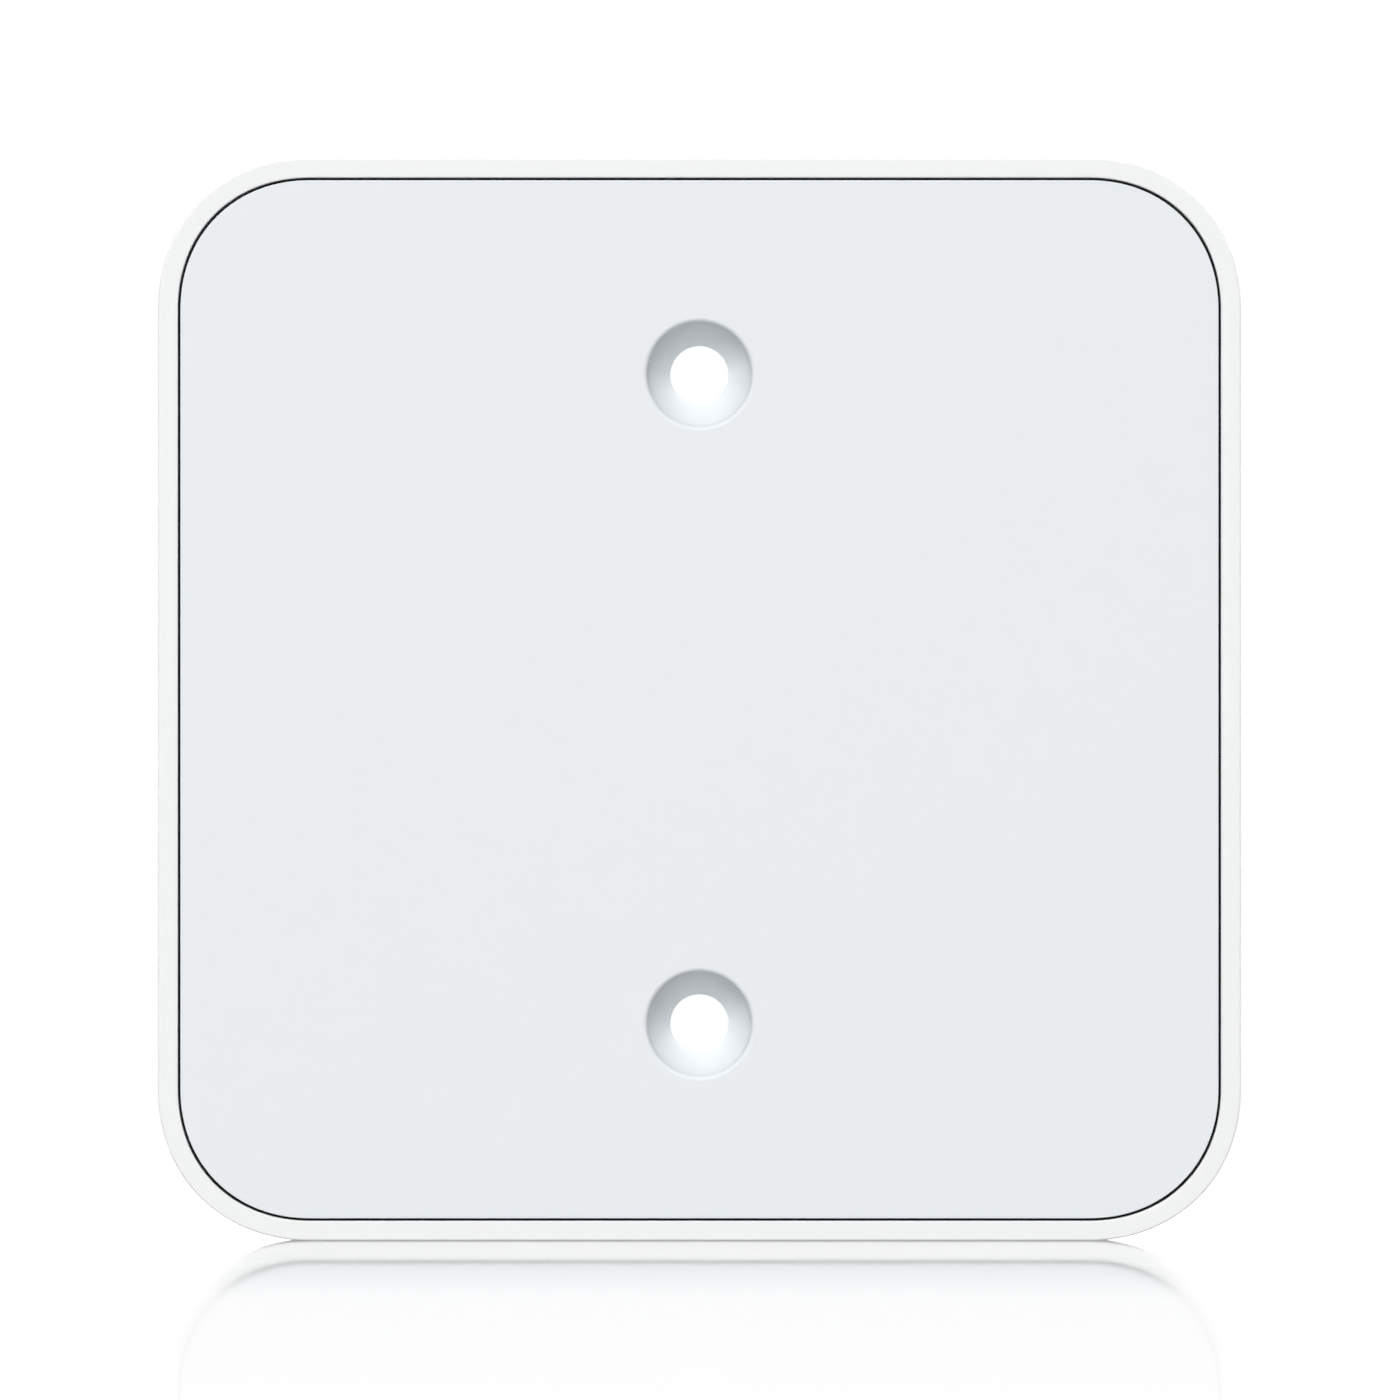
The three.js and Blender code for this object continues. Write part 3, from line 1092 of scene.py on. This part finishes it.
def grip_pad_piece(node):
    """A rubber strip with round ends, a soft edge and shallow grooves across its wall side."""
    low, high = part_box(node)
    width, height = high.x - low.x, high.z - low.z
    narrow = min(width, height)
    at = centre(node)
    pad = slab(width, height, narrow / 2 - HAIR, high.y, low.y, at=at, segments=16)
    pick_face_at(high.y, 1)
    round_face_rim(PAD_ROUND, 4)
    clear_selection()
    along_x = width > height
    length = narrow - 2 * GROOVE_INSET
    groove_size = (GROOVE_WIDTH, length) if along_x else (length, GROOVE_WIDTH)
    for i in range(GROOVES):
        offset = (i - (GROOVES - 1) / 2) * GROOVE_PITCH
        groove = slab(
            *groove_size,
            GROOVE_WIDTH / 2 - HAIR,
            PAST,
            high.y - GROOVE_DEPTH,
            at=(at[0] + offset, at[1]) if along_x else (at[0], at[1] + offset),
            segments=6,
        )
        clear_selection()
        combine(pad, groove, "DIFFERENCE")
    return pad


class PLATE_OT_grip_pads(bpy.types.Operator):
    """Model the four rubber grip pads on the plate's back"""

    bl_idname = "plate.grip_pads"
    bl_label = "Grip pads"

    def execute(self, context):
        material = silicone_rubber()
        for node in PADS:
            finish_piece(grip_pad_piece(node), node, material)
        return {"FINISHED"}


# ---- stage: floor, light and camera ----

CAMERA_DISTANCE = 2.0
VIEW_WIDTH = 0.12927  # how much of the plate's face plane the camera takes in
FLOOR_Z = CAD_BOX[0].z
FLOOR_SIDE = 12

# Each light's name, its place, the side of its square and its power in watts.
LIGHTS = (
    ("key_light", (0, -3.94, 3.08), 1.6, 100),
    ("key_light_left", (-1.35, -3.7, 3.08), 1.6, 93),
    ("front_light", (0, -3.0, 0), 1.5, 27.5),
    ("low_light", (-0.12, -0.573, -0.4), 0.4, 0.3),
    ("back_light", (1.9, 1.2, 1.5), 1.2, 30),
    ("rear_light", (0, 3.0, 0.5), 1.5, 22),
)


def polished_floor():
    # Polished white acrylic sheet: a soft mirror close to the plate that fades to plain white
    # further off. Near the plate the sheet glows, and that glow is dimmed where the plate stands on
    # it:
    # a painted soft shadow, added to the real shading of the sheet's matt part.
    material, tree, place = new_material("white_acrylic_polished")
    parts = add_node(tree, "ShaderNodeSeparateXYZ", {"Vector": place})

    def fade(axis, middle, start, end, strength):
        """Full strength as far as start from the middle, along an axis, and nothing past end."""
        away = add_node(
            tree, "ShaderNodeMath", {0: (parts, axis), 1: middle}, operation="SUBTRACT"
        )
        distance = add_node(tree, "ShaderNodeMath", {0: (away, "Value")}, operation="ABSOLUTE")
        span = {"From Min": start, "From Max": end, "To Min": strength, "To Max": 0.0}
        inputs = {"Value": (distance, "Value"), **span}
        falling = add_node(
            tree, "ShaderNodeMapRange", inputs, interpolation_type="SMOOTHSTEP"
        )
        return falling, "Result"

    mirror = add_node(
        tree,
        "ShaderNodeMath",
        {
            0: fade("Y", FACE_Y, start=0.09, end=0.21, strength=0.64),
            1: fade("Y", FACE_Y, start=0.2, end=0.6, strength=0.15),
        },
        operation="ADD",
    )
    # The patch round the plate's foot where the glow and its painted shadow are drawn.
    near = add_node(
        tree,
        "ShaderNodeMath",
        {
            0: fade("Y", FACE_Y - 0.03, start=0.034, end=0.056, strength=1.0),
            1: fade("X", 0.0, start=0.05, end=0.062, strength=1.0),
        },
        operation="MULTIPLY",
    )
    matt = add_node(tree, "ShaderNodeBsdfDiffuse", {"Color": (0.3, 0.3, 0.3, 1)})
    # Painted shade: ambient occlusion dims the floor's glow next to the plate and draws its contact
    # shadow.
    painted_shade_occlusion = add_node(tree, "ShaderNodeAmbientOcclusion", {"Distance": 0.014}, samples=16)
    painted_glow_strength = add_node(tree, "ShaderNodeMath", {0: (painted_shade_occlusion, "AO"), 1: 0.5}, operation="MULTIPLY")
    painted_glow = add_node(tree, "ShaderNodeEmission", {"Color": WHITE, "Strength": (painted_glow_strength, "Value")})
    near_body = add_node(tree, "ShaderNodeAddShader", {0: (matt, "BSDF"), 1: (painted_glow, "Emission")})
    far_body = add_node(tree, "ShaderNodeEmission", {"Color": WHITE, "Strength": 1.0})
    body = add_node(
        tree,
        "ShaderNodeMixShader",
        {0: (near, "Value"), 1: (far_body, "Emission"), 2: (near_body, "Shader")},
    )
    polish = add_node(tree, "ShaderNodeBsdfGlossy", {"Color": WHITE, "Roughness": 0.04})
    shader = add_node(
        tree,
        "ShaderNodeMixShader",
        {0: (mirror, "Value"), 1: (body, "Shader"), 2: (polish, "BSDF")},
    )
    add_node(tree, "ShaderNodeOutputMaterial", {"Surface": (shader, "Shader")})
    return material


def area_light(name, place, size, power):
    """A square soft light that looks at the plate's middle and isn't seen itself."""
    lamp = bpy.data.lights.new(name, "AREA")
    lamp.shape = "SQUARE"
    lamp.size = size
    lamp.energy = power
    light = bpy.data.objects.new(name, lamp)
    bpy.context.scene.collection.objects.link(light)
    light.location = place
    light.rotation_euler = (-Vector(place)).to_track_quat("-Z", "Y").to_euler()
    light.visible_camera = False


def white_studio():
    """White to look at and in reflections; as a light, dim but for a ring round the sides."""
    world = bpy.data.worlds.new("white_studio")
    bpy.context.scene.world = world
    world.use_nodes = True
    tree = world.node_tree
    tree.nodes.clear()
    ray = add_node(tree, "ShaderNodeLightPath")
    place = add_node(tree, "ShaderNodeTexCoord")
    parts = add_node(tree, "ShaderNodeSeparateXYZ", {"Vector": (place, "Generated")})
    off_ring = add_node(tree, "ShaderNodeMath", {0: (parts, "Y"), 1: 0.2}, operation="SUBTRACT")
    spread = add_node(tree, "ShaderNodeMath", {0: (off_ring, "Value")}, operation="ABSOLUTE")
    ring = add_node(
        tree,
        "ShaderNodeMapRange",
        {
            "Value": (spread, "Value"),
            "From Min": 0.1,
            "From Max": 0.4,
            "To Min": 1.0,
            "To Max": 0.02,
        },
    )
    fill = add_node(tree, "ShaderNodeBackground", {"Color": WHITE, "Strength": (ring, "Result")})
    backdrop = add_node(tree, "ShaderNodeBackground", {"Color": WHITE, "Strength": 1.02})
    mix = add_node(
        tree,
        "ShaderNodeMixShader",
        {0: (ray, "Is Diffuse Ray"), 1: (backdrop, "Background"), 2: (fill, "Background")},
    )
    add_node(tree, "ShaderNodeOutputWorld", {"Surface": (mix, "Shader")})


def front_camera():
    """A long lens straight in front of the plate's face."""
    lens = bpy.data.cameras.new("camera")
    lens.sensor_width = 36
    lens.lens = lens.sensor_width * CAMERA_DISTANCE / VIEW_WIDTH
    lens.shift_x = 0.0004
    lens.shift_y = -0.0005
    lens.clip_start = 0.1
    lens.clip_end = 20
    camera = bpy.data.objects.new("camera", lens)
    bpy.context.scene.collection.objects.link(camera)
    camera.location = (0, FACE_Y - CAMERA_DISTANCE, 0)
    camera.rotation_euler = UPRIGHT
    bpy.context.scene.camera = camera


class PLATE_OT_stage(bpy.types.Operator):
    """Set the floor, the soft studio light and the camera"""

    bl_idname = "plate.stage"
    bl_label = "Stage"

    def execute(self, context):
        clear_selection()
        bpy.ops.mesh.primitive_plane_add(size=FLOOR_SIDE, location=(0, 0, FLOOR_Z))
        floor = context.object
        floor.name = "floor"
        floor.data.materials.append(polished_floor())
        floor.visible_diffuse = False
        floor.visible_shadow = False

        for light in LIGHTS:
            area_light(*light)
        white_studio()
        front_camera()
        context.scene.view_settings.view_transform = "Standard"
        return {"FINISHED"}


# ---- panel in the sidebar, registration and the run ----


class PLATE_PT_pieces(bpy.types.Panel):
    """Lists the plate's pieces, sizes and colours"""

    bl_idname = "PLATE_PT_pieces"
    bl_label = "Mounting plate"
    bl_space_type = "VIEW_3D"
    bl_region_type = "UI"
    bl_category = "Plate"

    def draw(self, context):
        for name in PlateSizes.__annotations__:
            self.layout.prop(context.scene.plate_sizes, name)
        for name in PlateColours.__annotations__:
            self.layout.prop(context.scene.plate_colours, name)
        for operator in OPERATORS:
            self.layout.operator(operator.bl_idname)


OPERATORS = (
    PLATE_OT_stage,
    PLATE_OT_rear_shell,
    PLATE_OT_front_panel,
    PLATE_OT_gasket,
    PLATE_OT_yoke,
    PLATE_OT_magnets,
    PLATE_OT_panel_screws,
    PLATE_OT_grip_pads,
)
CLASSES = (PlateSizes, PlateColours, *OPERATORS, PLATE_PT_pieces)


def register():
    for cls in CLASSES:
        bpy.utils.register_class(cls)
    bpy.types.Scene.plate_sizes = bpy.props.PointerProperty(type=PlateSizes)
    bpy.types.Scene.plate_colours = bpy.props.PointerProperty(type=PlateColours)


def unregister():
    del bpy.types.Scene.plate_sizes
    del bpy.types.Scene.plate_colours
    for cls in reversed(CLASSES):
        bpy.utils.unregister_class(cls)


def main():
    register()
    bpy.ops.plate.stage()
    bpy.ops.plate.rear_shell()
    bpy.ops.plate.front_panel()
    bpy.ops.plate.gasket()
    bpy.ops.plate.yoke()
    bpy.ops.plate.magnets()
    bpy.ops.plate.panel_screws()
    bpy.ops.plate.grip_pads()


if __name__ == "__main__":
    main()
